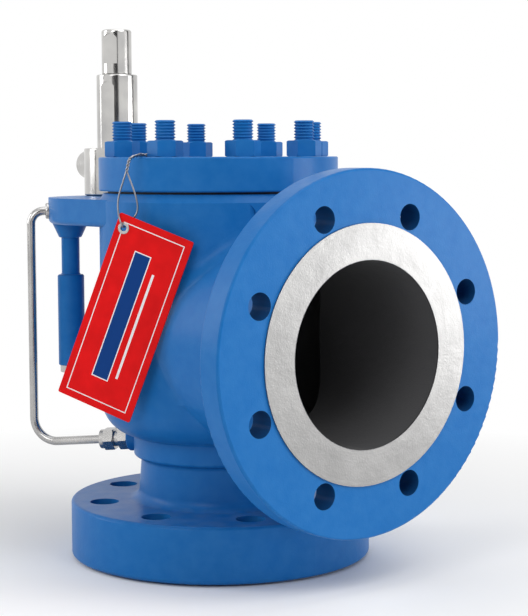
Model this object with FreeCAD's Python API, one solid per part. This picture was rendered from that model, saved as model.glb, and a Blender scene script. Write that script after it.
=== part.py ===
import FreeCAD, Part
import math
import os

# Pilot-operated safety valve with an angle body. Millimetres, +Z up, the origin
# at the middle of the inlet face, the outlet towards +X and the pilot towards -X.

Vec = FreeCAD.Vector
UP = Vec(0, 0, 1)

# Fits and joints between pieces
thread_play = 0.05
running_play = 0.05
loose_play = 0.3
gasket_thickness = 2.0
small_round = 1.0

# How far a cut runs past the face that it opens
past = 1.0

# How near a point must lie to count as on an edge or a surface
close = 0.05

# How finely a spring's wire is drawn: stations in a turn and sides of its section
coil_stations = 16
coil_sides = 8

# Inlet flange and its face
inlet_bore_radius = 50.0
inlet_face_radius = 78.6
inlet_face_height = 2.0
inlet_flange_radius = 136.5
inlet_flange_top = 52.0
inlet_flange_edge = 3.0
inlet_bolt_edge = 28.55
inlet_bolt_hole_radius = 13.0
flange_bolt_count = 8

# Outlet flange and its face
outlet_height = 200.0
outlet_reach = 206.0
outlet_bore_radius = 77.9
outlet_face_radius = 107.95
outlet_face_height = 1.6
outlet_flange_radius = 152.5
outlet_flange_thickness = 24.0
outlet_flange_edge = 2.0
outlet_bolt_edge = 31.85
outlet_bolt_hole_radius = 11.1

# Cast body between the flanges
neck_root_radius = 75.0
neck_radius = 72.0
neck_fillet = 9.0
collar_radius = 79.0
collar_bottom = 91.0
collar_top = 111.0
collar_under_round = 4.0
collar_lower_edge = 3.0
collar_upper_edge = 2.0
bowl_bottom = 117.0
bowl_round = 33.0
barrel_radius = 108.0
barrel_top = 330.0
top_chamfer_width = 4.0
top_chamfer_height = 7.0
branch_radius = 100.0
branch_flange_fillet = 9.0
branch_barrel_fillet = 16.0
cavity_radius = 92.0
cavity_floor = 122.0
cavity_roof = 32.0
cavity_floor_round = 20.0
cavity_ceiling_round = 8.0
nozzle_seat_depth = 14.0

# Ear that carries the pilot, a stadium in plan, cast with the body
ear_centre_x = -95.0
ear_radius = 105.0
ear_top = 324.5
ear_thickness = 24.5
ear_edge_round = 5.0
ear_passage_radius = 2.5
ear_passage_drop = 12.5
port_heading = -118.0
filter_reach = 85.0
filter_boss_root_radius = 17.0
filter_boss_tip_radius = 10.5
filter_boss_drop = 13.0
filter_boss_edge = 1.5

# Pressure tapping on the collar
tapping_height = 101.0
tapping_droop = 5.0
tapping_boss_radius = 12.0
tapping_boss_length = 25.0
tapping_boss_edge = 1.5
tapping_face_reach = 89.0
tapping_passage_radius = 3.0

# Cover, its studs and nuts
cover_radius = 108.0
cover_thickness = 30.0
cover_edge = 1.5
gasket_outer_radius = 100.0
gasket_inset = 4.0
stud_radius = 9.0
stud_count = 8
stud_circle = 88.0
stud_depth = 26.0
stud_reach = 31.4
stud_end_chamfer = 1.2
stud_hole_play = 1.0
nut_across_flats = 27.0
nut_height = 14.0
nut_chamfer = 1.6

# Seat nozzle
nozzle_base_radius = 60.0
nozzle_stem_radius = 46.0
nozzle_throat_radius = 32.0
nozzle_lip_radius = 37.0
nozzle_foot_rise = 4.0
nozzle_foot_round = 4.0
nozzle_neck_drop = 14.0
nozzle_neck_round = 6.0
nozzle_lip_drop = 8.0
nozzle_bevel_width = 1.5
nozzle_bevel_depth = 3.0
nozzle_throat_length = 24.0
nozzle_throat_round = 20.0
nozzle_flare_rise = 4.0
seat_height = 168.0

# Liner that guides the piston
liner_bore_radius = 46.05
liner_wall = 8.0
liner_flange_radius = 64.0
liner_flange_thickness = 5.0
liner_seat_gap = 58.0
liner_foot_round = 2.0

# Piston and its seat disc
piston_wall = 7.0
piston_length = 118.0
piston_foot_play = 3.0
piston_foot_length = 14.0
piston_foot_round = 2.0
piston_floor_thickness = 26.0
piston_floor_round = 5.0
disc_radius = 40.0
disc_thickness = 6.0
retainer_radius = 28.0
retainer_thickness = 4.0
retainer_screw_radius = 5.0
retainer_screw_length = 18.0
retainer_head_flats = 16.0
retainer_head_height = 6.0
ring_height = 5.0
ring_depth = 3.0
ring_drop = 24.0
dome_spring_radius = 26.0
dome_spring_wire = 2.0
dome_spring_turns = 5.0

# Pilot body and what it is bolted down with
pilot_reach = 72.0
pilot_radius = 33.0
pilot_height = 46.0
pilot_edge = 1.5
pilot_gasket_radius = 31.0
pilot_gasket_thickness = 0.5
pilot_screw_circle = 26.2
pilot_screw_radius = 2.5
pilot_screw_head_radius = 4.25
pilot_screw_head_height = 5.0
pilot_screw_engagement = 10.0
pilot_screw_count = 4
socket_flats = 4.0
socket_depth = 2.5
socket_head_edge = 0.6
pilot_screw_angle = 45.0

# Test plug on the side of the pilot
plug_rise = 30.0
plug_radius = 14.0
plug_length = 20.0
plug_neck_radius = 9.0
plug_neck_length = 4.0
plug_thread_radius = 7.0
plug_thread_length = 10.0
plug_edge = 2.5

# Pilot bonnet, spool, springs and cap
bonnet_radius = 20.0
bonnet_height = 71.3
bonnet_cavity_radius = 15.0
bonnet_roof = 10.0
bonnet_register_radius = 16.5
bonnet_register_depth = 3.0
bonnet_floor = 6.0
bonnet_flat_width = 37.2
bonnet_flat_top_drop = 7.0
flat_heading = 27.0
bonnet_edge = 1.2
spigot_radius = 10.0
spigot_height = 5.0
spool_radius = 6.0
spool_rise = 11.0
spool_stroke_gap = 4.0
spool_length = 49.0
seal_wire = 0.9
lower_seal_rise = 10.0
upper_seal_rise = 26.0
spring_plate_radius = 12.0
spring_plate_thickness = 4.0
pilot_spring_radius = 8.5
pilot_spring_wire = 1.4
pilot_spring_turns = 6.0
upper_plate_drop = 20.3
set_screw_radius = 5.0
set_screw_reach = 18.7
set_screw_slot = 1.4
set_screw_slot_depth = 2.5
set_screw_edge = 0.8
lock_nut_flats = 15.0
lock_nut_height = 5.0
lock_nut_chamfer = 0.8
cap_radius = 14.6
cap_bore_radius = 11.0
cap_height = 43.1
cap_roof = 6.0
cap_edge = 2.5
cap_foot_edge = 0.8
cap_flat_width = 25.0
cap_flat_rise = 10.0
cap_flat_top_drop = 4.0
cap_gasket_thickness = 0.6

# Filter that hangs below the ear
filter_neck_radius = 8.5
filter_neck_length = 35.0
filter_thread_radius = 6.5
filter_thread_length = 9.0
filter_bowl_radius = 12.5
filter_bowl_length = 86.0
filter_wall = 2.0
filter_edge = 2.0
filter_roof = 4.0
element_radius = 6.5
element_wall = 1.5
filter_plug_flats = 19.0
filter_plug_height = 7.0
filter_plug_spigot = 6.0
fitting_chamfer = 1.2

# Supply tube and its fittings
tube_radius = 4.0
tube_wall = 1.0
tube_stand_off = 16.5
tube_top_bend = 12.0
tube_bottom_bend = 22.0
port_collar_radius = 7.5
port_thread_radius = 7.0
port_depth = 12.0
port_tube_stop = 4.0
port_nut_length = 3.0
port_nut_edge = 1.5
connector_thread_radius = 6.6
connector_thread_length = 10.0
connector_flats = 19.0
connector_hex_length = 9.0
connector_neck_radius = 7.2
connector_neck_length = 5.0
connector_nose = 4.0
connector_tube_depth = 3.0
tube_nut_flats = 19.0
tube_nut_length = 14.0
tube_nut_skirt_radius = 9.0
tube_nut_skirt_length = 4.0
ferrule_radius = 5.6
ferrule_length = 5.0
ferrule_taper = 0.8

# Tag, eyelet and the wire that they hang from
tag_heading = -54.0
tag_stand_off = 118.0
tag_width = 70.0
tag_length = 166.0
tag_thickness = 1.2
tag_corner = 1.5
eyelet_side = 7.5
eyelet_drop = 11.5
eyelet_hang = 60.0
eyelet_along = -46.8
eyelet_hole_radius = 2.6
eyelet_wall = 0.9
eyelet_rim_radius = 5.0
eyelet_rim_height = 0.7
eyelet_rim_round = 0.3
wire_radius = 0.75
wire_bend = 4.0
wire_join_drop = 10.0
wire_crest_drop = 1.0
wire_loop_bend = 8.0
wire_eyelet_bend = 2.0
wire_join_shift = 3.0

# Where the wire lies on the cover: heading, and share of the cover's radius
wire_hook = ((-72.0, 1.02), (-83.0, 0.87), (-91.0, 0.76), (-86.0, 0.63), (-70.0, 0.61))


def heading(angle, reach=1.0):
    """Level vector of a given length at an angle from +X."""
    turn = math.radians(angle)
    return Vec(reach * math.cos(turn), reach * math.sin(turn), 0)


def round_cuts(points, radii):
    """Where each corner's round starts, touches its middle and ends."""
    cuts = []
    count = len(points)
    for index, here in enumerate(points):
        radius = radii[index]
        if radius == 0:
            cuts.append((here, None, here))
            continue
        back = points[index - 1] - here
        onward = points[(index + 1) % count] - here
        back.normalize()
        onward.normalize()
        half = back.getAngle(onward) / 2
        reach = radius / math.tan(half)
        inward = back + onward
        inward.normalize()
        middle = here + inward * (radius / math.sin(half) - radius)
        cuts.append((here + back * reach, middle, here + onward * reach))
    return cuts


def joined_edges(cuts, closed):
    """Straight and round edges through the cuts, in order."""
    edges = []
    last = len(cuts) if closed else len(cuts) - 1
    for index, (start, middle, end) in enumerate(cuts):
        if middle is not None:
            edges.append(Part.Arc(start, middle, end).toShape())
        following = cuts[(index + 1) % len(cuts)][0]
        if index < last and (following - end).Length > 1e-6:
            edges.append(Part.LineSegment(end, following).toShape())
    return edges


def outline(corners):
    """Closed wire in the XZ plane through corners of (across, up, round)."""
    points = [Vec(corner[0], 0, corner[1]) for corner in corners]
    radii = [corner[2] if len(corner) > 2 else 0 for corner in corners]
    return Part.Wire(joined_edges(round_cuts(points, radii), True))


def turned(corners):
    """Solid turned about Z from half of its section."""
    return Part.Face(outline(corners)).revolve(Vec(), UP, 360)


def rod(radius, bottom, top):
    """Plain round bar about Z."""
    return Part.makeCylinder(radius, top - bottom, Vec(0, 0, bottom))


def tube_between(inner, outer, bottom, top):
    """Plain ring about Z."""
    return rod(outer, bottom, top).cut(rod(inner, bottom, top))


def hex_bar(across_flats, bottom, top, chamfer=0.0):
    """Six-sided bar about Z with its corners turned off at the ends."""
    corner_radius = across_flats / math.sqrt(3)
    corners = [heading(60 * side, corner_radius) + Vec(0, 0, bottom) for side in range(7)]
    bar = Part.Face(Part.makePolygon(corners)).extrude(Vec(0, 0, top - bottom))
    if chamfer == 0:
        return bar
    drop = chamfer / 2
    foot = [(0, bottom), (corner_radius - chamfer, bottom), (corner_radius, bottom + drop)]
    head = [(corner_radius, top - drop), (corner_radius - chamfer, top), (0, top)]
    return bar.common(turned(foot + head))


def aimed(shape, point, direction):
    """Copy of a shape built along Z, set at a point and turned to a direction."""
    turn = FreeCAD.Placement(point, FreeCAD.Rotation(UP, direction))
    return shape.transformed(turn.toMatrix(), True)


def moved(shape, offset):
    """Copy of a shape shifted by an offset."""
    copy = shape.copy()
    copy.translate(offset)
    return copy


def ring_of(shape, count, circle, first_angle):
    """Copies of a shape evenly round a circle about Z."""
    return [
        moved(shape, heading(first_angle + 360.0 * index / count, circle))
        for index in range(count)
    ]


def bent_bar(points, radius, bends):
    """Round bar along straight runs joined by arcs."""
    cuts = round_cuts(points, [0] + bends + [0])
    path = Part.Wire(joined_edges(cuts, False))
    start = Part.Wire(Part.makeCircle(radius, points[0], points[1] - points[0]))
    return path.makePipeShell([start], True, False)


def coil(mean_radius, wire, bottom, top, turns):
    """Helical spring about Z whose wire fills the height between two seats."""
    climb = top - bottom - 2 * wire
    stations = int(round(turns * coil_stations))
    sections = []
    for station in range(stations + 1):
        angle = 360.0 * station / coil_stations
        outward = heading(angle)
        centre = outward * mean_radius + Vec(0, 0, bottom + wire + climb * station / stations)
        corners = []
        for corner in range(coil_sides + 1):
            turn = 2 * math.pi * corner / coil_sides
            corners.append(centre + outward * (wire * math.cos(turn)) + UP * (wire * math.sin(turn)))
        sections.append(Part.makePolygon(corners))
    return Part.makeLoft(sections, True, True)


def edges_where(shape, test):
    """Edges of a shape whose middle point passes a test."""
    found = []
    for edge in shape.Edges:
        first, last = edge.ParameterRange
        if test(edge, edge.valueAt((first + last) / 2)):
            found.append(edge)
    return found


# Places that several pieces share
inlet_bolt_circle = inlet_flange_radius - inlet_bolt_edge
outlet_bolt_circle = outlet_flange_radius - outlet_bolt_edge
cavity_ceiling = barrel_top - cavity_roof
nozzle_seat_height = cavity_floor - nozzle_seat_depth
ear_bottom = ear_top - ear_thickness
ear_passage_height = ear_top - ear_passage_drop
filter_boss_bottom = ear_bottom - filter_boss_drop
filter_neck_bottom = filter_boss_bottom - filter_neck_length
filter_bowl_bottom = filter_neck_bottom - filter_bowl_length
ear_centre = Vec(ear_centre_x, 0, 0)
port_direction = heading(port_heading)
port_mouth = ear_centre + heading(port_heading, ear_radius) + Vec(0, 0, ear_passage_height)
filter_axis = ear_centre + heading(port_heading, filter_reach)
pilot_axis = Vec(ear_centre_x - pilot_reach, 0, 0)
pilot_bottom = ear_top + pilot_gasket_thickness
pilot_top = pilot_bottom + pilot_height
plug_height = pilot_bottom + plug_rise
spool_bottom = pilot_bottom + spool_rise
spool_top = spool_bottom + spool_length
seal_heights = (spool_bottom + lower_seal_rise, spool_bottom + upper_seal_rise)
bonnet_top = pilot_top + bonnet_height
upper_plate_bottom = bonnet_top - upper_plate_drop
cover_bottom = barrel_top + gasket_thickness
cover_top = cover_bottom + cover_thickness
stud_top = cover_top + stud_reach
liner_outer_radius = liner_bore_radius + liner_wall
liner_bottom = seat_height + liner_seat_gap
piston_foot = seat_height + disc_thickness
piston_shoulder = piston_foot + piston_foot_length
piston_floor = piston_foot + piston_floor_thickness
piston_top = piston_foot + piston_length
ring_bottom = piston_top - ring_drop
piston_radius = liner_bore_radius - running_play
spigot_top = bonnet_top + spigot_height
set_screw_top = spigot_top + set_screw_reach
cap_bottom = bonnet_top + cap_gasket_thickness
cap_top = cap_bottom + cap_height
filter_ceiling = filter_neck_bottom - filter_roof
flange_half_step = 180.0 / flange_bolt_count
stud_half_step = 180.0 / stud_count

tube_run = ear_centre + heading(port_heading, ear_radius + tube_stand_off)
tapping_angle = math.degrees(math.atan2(tube_run.y, tube_run.x))
tapping_drop = math.tan(math.radians(tapping_droop))
tapping_direction = heading(tapping_angle) - Vec(0, 0, tapping_drop)
tapping_direction.normalize()
tapping_face = heading(tapping_angle, tapping_face_reach) + Vec(0, 0, tapping_height)

tag_normal = heading(tag_heading)
tag_across = heading(tag_heading + 90)
eyelet_height = cover_top - eyelet_hang
wire_join_height = eyelet_hang - wire_join_drop
eyelet_centre = tag_normal * tag_stand_off + tag_across * eyelet_along + Vec(0, 0, eyelet_height)


def branch_outside():
    """Outlet branch with its flange, turned about +X."""
    flange_front = outlet_reach - outlet_face_height
    flange_back = flange_front - outlet_flange_thickness
    branch = turned([
        (0, 0),
        (branch_radius, 0),
        (branch_radius, flange_back, branch_flange_fillet),
        (outlet_flange_radius, flange_back, outlet_flange_edge),
        (outlet_flange_radius, flange_front, outlet_flange_edge),
        (outlet_face_radius, flange_front),
        (outlet_face_radius, outlet_reach),
        (0, outlet_reach),
    ])
    return aimed(branch, Vec(0, 0, outlet_height), Vec(1, 0, 0))


def barrel_outside():
    """Inlet flange, neck, collar, bowl and barrel, turned about Z."""
    return turned([
        (0, 0),
        (inlet_face_radius, 0),
        (inlet_face_radius, inlet_face_height),
        (inlet_flange_radius, inlet_face_height, inlet_flange_edge),
        (inlet_flange_radius, inlet_flange_top, inlet_flange_edge),
        (neck_root_radius, inlet_flange_top, neck_fillet),
        (neck_radius, collar_bottom, collar_under_round),
        (collar_radius, collar_bottom, collar_lower_edge),
        (collar_radius, collar_top, collar_upper_edge),
        (barrel_radius, bowl_bottom, bowl_round),
        (barrel_radius, barrel_top - top_chamfer_height),
        (barrel_radius - top_chamfer_width, barrel_top),
        (0, barrel_top),
    ])


def ear_outside():
    """Flat ear, a stadium in plan, with its lower outer edge rounded."""
    side = ear_radius
    corners = [
        Vec(0, -side, ear_bottom),
        Vec(ear_centre_x, -side, ear_bottom),
        Vec(ear_centre_x, side, ear_bottom),
        Vec(0, side, ear_bottom),
    ]
    nose = Part.Arc(corners[1], Vec(ear_centre_x - side, 0, ear_bottom), corners[2])
    plan = Part.Wire([
        Part.LineSegment(corners[0], corners[1]).toShape(),
        nose.toShape(),
        Part.LineSegment(corners[2], corners[3]).toShape(),
        Part.LineSegment(corners[3], corners[0]).toShape(),
    ])
    ear = Part.Face(plan).extrude(Vec(0, 0, ear_top - ear_bottom))

    def on_lower_rim(edge, middle):
        return abs(middle.z - ear_bottom) < close and middle.x < -close

    return ear.makeFillet(ear_edge_round, edges_where(ear, on_lower_rim))


def filter_boss():
    """Funnel-shaped boss below the ear that the filter screws into."""
    boss = turned([
        (0, filter_boss_bottom),
        (filter_boss_tip_radius, filter_boss_bottom, filter_boss_edge),
        (filter_boss_root_radius, ear_bottom + past),
        (0, ear_bottom + past),
    ])
    return moved(boss, filter_axis)


def tapping_boss():
    """Round boss on the collar with a flat face for the lower fitting."""
    boss = turned([
        (0, -tapping_boss_length),
        (tapping_boss_radius, -tapping_boss_length),
        (tapping_boss_radius, 0, tapping_boss_edge),
        (0, 0),
    ])
    return aimed(boss, tapping_face, tapping_direction)


def body_core():
    """Inlet bore, nozzle seat, cavity and the opening for the liner."""
    nozzle_hole = nozzle_base_radius + thread_play
    liner_hole = liner_outer_radius + loose_play
    flange_hole = liner_flange_radius + loose_play
    flange_seat = barrel_top - liner_flange_thickness
    return turned([
        (0, -past),
        (inlet_bore_radius, -past),
        (inlet_bore_radius, nozzle_seat_height),
        (nozzle_hole, nozzle_seat_height),
        (nozzle_hole, cavity_floor),
        (cavity_radius, cavity_floor, cavity_floor_round),
        (cavity_radius, cavity_ceiling, cavity_ceiling_round),
        (liner_hole, cavity_ceiling),
        (liner_hole, flange_seat),
        (flange_hole, flange_seat),
        (flange_hole, barrel_top + past),
        (0, barrel_top + past),
    ])


def body_holes():
    """Every drilled hole and passage of the cast body."""
    outlet_bore = rod(outlet_bore_radius, 0, outlet_reach + past)
    outlet_holes = ring_of(
        rod(outlet_bolt_hole_radius, branch_radius, outlet_reach + past),
        flange_bolt_count, outlet_bolt_circle, flange_half_step)
    sideways = [outlet_bore] + outlet_holes
    holes = [aimed(hole, Vec(0, 0, outlet_height), Vec(1, 0, 0)) for hole in sideways]
    inlet_hole = rod(inlet_bolt_hole_radius, -past, inlet_flange_top + past)
    holes += ring_of(inlet_hole, flange_bolt_count, inlet_bolt_circle, flange_half_step)
    stud_hole = rod(stud_radius + thread_play, barrel_top - stud_depth, barrel_top + past)
    holes += ring_of(stud_hole, stud_count, stud_circle, stud_half_step)
    screw_hole = rod(pilot_screw_radius + thread_play, ear_top - pilot_screw_engagement, ear_top + past)
    holes += [
        moved(hole, pilot_axis)
        for hole in ring_of(screw_hole, pilot_screw_count, pilot_screw_circle, pilot_screw_angle)
    ]
    holes.append(moved(rod(
        filter_thread_radius + thread_play, filter_boss_bottom - past,
        filter_boss_bottom + filter_thread_length), filter_axis))
    holes.append(moved(rod(
        ear_passage_radius, filter_boss_bottom, ear_passage_height), filter_axis))
    holes.append(aimed(rod(port_thread_radius + thread_play, 0, port_depth + past),
                       port_mouth + port_direction, port_direction * -1))
    holes.append(aimed(rod(ear_passage_radius, port_depth, ear_radius - filter_reach),
                       port_mouth, port_direction * -1))
    to_pilot = pilot_axis - filter_axis
    holes.append(aimed(rod(ear_passage_radius, 0, to_pilot.Length),
                       filter_axis + Vec(0, 0, ear_passage_height), to_pilot))
    holes.append(moved(rod(ear_passage_radius, ear_passage_height, ear_top + past), pilot_axis))
    holes.append(aimed(rod(connector_thread_radius + thread_play, -past, connector_thread_length),
                       tapping_face, tapping_direction * -1))
    passage_length = tapping_face_reach - inlet_bore_radius + past
    holes.append(aimed(rod(tapping_passage_radius, 0, passage_length),
                       tapping_face, tapping_direction * -1))
    return holes


def branch_blend():
    """Cast fillet where the outlet branch runs into the straight barrel."""
    bowl_end = bowl_bottom + bowl_round
    upright = rod(barrel_radius, 0, 2 * outlet_height)
    level = Part.makeCylinder(branch_radius, 2 * barrel_radius, Vec(0, 0, outlet_height), Vec(1, 0, 0))
    crossed = upright.fuse(level)

    def where_they_meet(edge, middle):
        from_level = math.hypot(middle.y, middle.z - outlet_height)
        from_upright = math.hypot(middle.x, middle.y)
        return abs(from_level - branch_radius) < close and abs(from_upright - barrel_radius) < close

    crossed = crossed.makeFillet(branch_barrel_fillet, edges_where(crossed, where_they_meet))
    reach = barrel_radius + branch_barrel_fillet
    kept = Part.makeBox(reach, 2 * reach, barrel_top - top_chamfer_height - bowl_end,
                        Vec(0, -reach, bowl_end))
    return crossed.common(kept)


def valve_body():
    """Cast angle body with both flanges, the pilot ear and its bosses."""
    pieces = [branch_outside(), branch_blend(), ear_outside(), filter_boss(), tapping_boss()]
    outside = barrel_outside().fuse(pieces)
    return outside.cut([body_core()] + body_holes())


def seat_nozzle():
    """Nozzle screwed into the body, with the lip that the disc seals on."""
    return turned([
        (inlet_bore_radius, nozzle_seat_height),
        (nozzle_base_radius, nozzle_seat_height),
        (nozzle_base_radius, cavity_floor + nozzle_foot_rise, small_round),
        (nozzle_stem_radius, cavity_floor + nozzle_foot_rise, nozzle_foot_round),
        (nozzle_stem_radius, seat_height - nozzle_neck_drop, nozzle_neck_round),
        (nozzle_lip_radius, seat_height - nozzle_lip_drop),
        (nozzle_lip_radius, seat_height),
        (nozzle_throat_radius + nozzle_bevel_width, seat_height),
        (nozzle_throat_radius, seat_height - nozzle_bevel_depth),
        (nozzle_throat_radius, seat_height - nozzle_throat_length, nozzle_throat_round),
        (inlet_bore_radius, nozzle_seat_height + nozzle_flare_rise),
    ])


def guide_liner():
    """Flanged liner held under the cover, in which the piston slides."""
    return turned([
        (liner_bore_radius, liner_bottom),
        (liner_outer_radius, liner_bottom, liner_foot_round),
        (liner_outer_radius, barrel_top - liner_flange_thickness),
        (liner_flange_radius, barrel_top - liner_flange_thickness),
        (liner_flange_radius, barrel_top),
        (liner_bore_radius, barrel_top),
    ])


def piston():
    """Cup-shaped piston whose lower face carries the seat disc."""
    inner = piston_radius - piston_wall
    ring_floor = piston_radius - ring_depth
    ring_top = ring_bottom + ring_height
    cup = turned([
        (0, piston_foot),
        (disc_radius + piston_foot_play, piston_foot, small_round),
        (disc_radius + piston_foot_play, piston_shoulder, piston_foot_round),
        (piston_radius, piston_shoulder, small_round),
        (piston_radius, ring_bottom),
        (ring_floor, ring_bottom),
        (ring_floor, ring_top),
        (piston_radius, ring_top),
        (piston_radius, piston_top, small_round),
        (inner, piston_top),
        (inner, piston_floor, piston_floor_round),
        (0, piston_floor),
    ])
    tapped = rod(retainer_screw_radius + thread_play, piston_foot - past,
                 piston_foot - retainer_thickness + retainer_screw_length)
    return cup.cut(tapped)


def piston_ring():
    """Sealing ring in the piston's groove."""
    return tube_between(piston_radius - ring_depth, piston_radius,
                        ring_bottom, ring_bottom + ring_height)


def seat_disc():
    """Sealing disc under the piston, with a hole for the retainer's spigot."""
    return tube_between(retainer_screw_radius + loose_play, disc_radius,
                        seat_height, piston_foot)


def disc_retainer():
    """Plate that clamps the seat disc from below."""
    return turned([
        (retainer_screw_radius + loose_play, seat_height - retainer_thickness),
        (retainer_radius, seat_height - retainer_thickness, small_round),
        (retainer_radius, seat_height),
        (retainer_screw_radius + loose_play, seat_height),
    ])


def retainer_screw():
    """Hexagon screw through the retainer and disc into the piston."""
    under_head = seat_height - retainer_thickness
    head = hex_bar(retainer_head_flats, under_head - retainer_head_height, under_head, small_round)
    shank_top = piston_foot - retainer_thickness + retainer_screw_length
    return head.fuse(rod(retainer_screw_radius, under_head, shank_top))


def dome_spring():
    """Light spring between the piston's floor and the cover."""
    return coil(dome_spring_radius, dome_spring_wire,
                piston_floor + loose_play, cover_bottom, dome_spring_turns)


def cover_gasket():
    """Flat gasket between body and cover, set in from their edges."""
    gasket = tube_between(liner_bore_radius + gasket_inset, gasket_outer_radius,
                          barrel_top, cover_bottom)
    hole = rod(stud_radius + stud_hole_play, barrel_top - past, cover_bottom + past)
    return gasket.cut(ring_of(hole, stud_count, stud_circle, stud_half_step))


def cover_plate():
    """Thick round cover with eight stud holes."""
    plate = turned([
        (0, cover_bottom),
        (cover_radius, cover_bottom, cover_edge),
        (cover_radius, cover_top, cover_edge),
        (0, cover_top),
    ])
    hole = rod(stud_radius + stud_hole_play, cover_bottom - past, cover_top + past)
    return plate.cut(ring_of(hole, stud_count, stud_circle, stud_half_step))


def cover_studs():
    """Eight studs screwed into the body."""
    stud = turned([
        (0, barrel_top - stud_depth),
        (stud_radius, barrel_top - stud_depth),
        (stud_radius, stud_top - stud_end_chamfer),
        (stud_radius - stud_end_chamfer, stud_top),
        (0, stud_top),
    ])
    return Part.makeCompound(ring_of(stud, stud_count, stud_circle, stud_half_step))


def cover_nuts():
    """Eight hexagon nuts on the studs."""
    nut = hex_bar(nut_across_flats, cover_top, cover_top + nut_height, nut_chamfer)
    nut = nut.cut(rod(stud_radius + thread_play, cover_top - past, cover_top + nut_height + past))
    return Part.makeCompound(ring_of(nut, stud_count, stud_circle, stud_half_step))


def pilot_body():
    """Round stainless block with the spool bore and four screw holes."""
    block = turned([
        (0, pilot_bottom),
        (pilot_radius, pilot_bottom, pilot_edge),
        (pilot_radius, pilot_top, pilot_edge),
        (bonnet_register_radius, pilot_top),
        (bonnet_register_radius, pilot_top - bonnet_register_depth),
        (0, pilot_top - bonnet_register_depth),
    ])
    spool_hole = rod(spool_radius + running_play, spool_bottom - spool_stroke_gap, pilot_top + past)
    supply = rod(ear_passage_radius, pilot_bottom - past, spool_bottom)
    through = rod(pilot_screw_radius + loose_play, pilot_bottom - past, pilot_top + past)
    counterbore = rod(pilot_screw_head_radius + loose_play,
                      pilot_top - pilot_screw_head_height, pilot_top + past)
    cuts = ring_of(through, pilot_screw_count, pilot_screw_circle, pilot_screw_angle)
    cuts += ring_of(counterbore, pilot_screw_count, pilot_screw_circle, pilot_screw_angle)
    plug_hole = rod(plug_thread_radius + thread_play, pilot_radius - plug_thread_length,
                    pilot_radius + past)
    side_passage = rod(ear_passage_radius, 0, pilot_radius)
    for sideways in (plug_hole, side_passage):
        cuts.append(aimed(sideways, Vec(0, 0, plug_height), Vec(-1, 0, 0)))
    return moved(block.cut([spool_hole, supply] + cuts), pilot_axis)


def pilot_base_gasket():
    """Thin gasket under the pilot body."""
    gasket = rod(pilot_gasket_radius, ear_top, pilot_bottom)
    hole = rod(pilot_screw_radius + loose_play, ear_top - past, pilot_bottom + past)
    passage = rod(ear_passage_radius, ear_top - past, pilot_bottom + past)
    cuts = ring_of(hole, pilot_screw_count, pilot_screw_circle, pilot_screw_angle)
    return moved(gasket.cut(cuts + [passage]), pilot_axis)


def pilot_screws():
    """Four socket-head screws that hold the pilot down."""
    head_bottom = pilot_top - pilot_screw_head_height
    head = turned([
        (0, head_bottom),
        (pilot_screw_head_radius, head_bottom),
        (pilot_screw_head_radius, pilot_top, socket_head_edge),
        (0, pilot_top),
    ])
    head = head.cut(hex_bar(socket_flats, pilot_top - socket_depth, pilot_top + past))
    screw = head.fuse(rod(pilot_screw_radius, ear_top - pilot_screw_engagement, head_bottom))
    screws = ring_of(screw, pilot_screw_count, pilot_screw_circle, pilot_screw_angle)
    return moved(Part.makeCompound(screws), pilot_axis)


def test_plug():
    """Round plug on the pilot's side that closes the test connection."""
    seat = pilot_radius
    neck_end = seat + plug_neck_length
    plug_end = neck_end + plug_length
    plug = turned([
        (0, seat - plug_thread_length),
        (plug_thread_radius, seat - plug_thread_length),
        (plug_thread_radius, seat),
        (plug_neck_radius, seat),
        (plug_neck_radius, neck_end),
        (plug_radius, neck_end, small_round),
        (plug_radius, plug_end, plug_edge),
        (0, plug_end),
    ])
    return moved(aimed(plug, Vec(0, 0, plug_height), Vec(-1, 0, 0)), pilot_axis)


def flatted(shape, radius, width, bottom, top):
    """Round shape with two opposite spanner flats that end in an arch at the top."""
    half = width / 2
    arch = math.sqrt(radius ** 2 - half ** 2) + past
    run = Part.makeBox(2 * arch, radius, top - arch - bottom, Vec(-arch, half, bottom))
    end = aimed(rod(arch, half, half + radius), Vec(0, 0, top - arch), Vec(0, 1, 0))
    near = run.fuse(end)
    near.rotate(Vec(), UP, flat_heading)
    far = near.copy()
    far.rotate(Vec(), UP, 180)
    return shape.cut([near, far])


def pilot_bonnet():
    """Tall spring bonnet with spanner flats and a spigot for the cap."""
    foot = pilot_top - bonnet_register_depth
    spool_way = spool_radius + running_play
    bonnet = turned([
        (spool_way, foot),
        (bonnet_register_radius - thread_play, foot),
        (bonnet_register_radius - thread_play, pilot_top),
        (bonnet_radius, pilot_top),
        (bonnet_radius, bonnet_top, bonnet_edge),
        (spigot_radius, bonnet_top),
        (spigot_radius, spigot_top),
        (set_screw_radius + thread_play, spigot_top),
        (set_screw_radius + thread_play, bonnet_top - bonnet_roof),
        (bonnet_cavity_radius, bonnet_top - bonnet_roof),
        (bonnet_cavity_radius, pilot_top + bonnet_floor),
        (spool_way, pilot_top + bonnet_floor),
    ])
    bonnet = flatted(bonnet, bonnet_radius, bonnet_flat_width, pilot_top,
                     bonnet_top - bonnet_flat_top_drop)
    return moved(bonnet, pilot_axis)


def pilot_spool():
    """Sliding spool with two seal grooves."""
    groove = spool_radius - seal_wire
    corners = [(0, spool_bottom), (spool_radius, spool_bottom)]
    for height in seal_heights:
        corners += [
            (spool_radius, height - seal_wire),
            (groove, height - seal_wire),
            (groove, height + seal_wire),
            (spool_radius, height + seal_wire),
        ]
    corners += [(spool_radius, spool_top), (0, spool_top)]
    return moved(turned(corners), pilot_axis)


def spool_seals():
    """Two square-section seals in the spool's grooves."""
    seals = [
        tube_between(spool_radius - seal_wire, spool_radius, height - seal_wire, height + seal_wire)
        for height in seal_heights
    ]
    return moved(Part.makeCompound(seals), pilot_axis)


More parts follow.
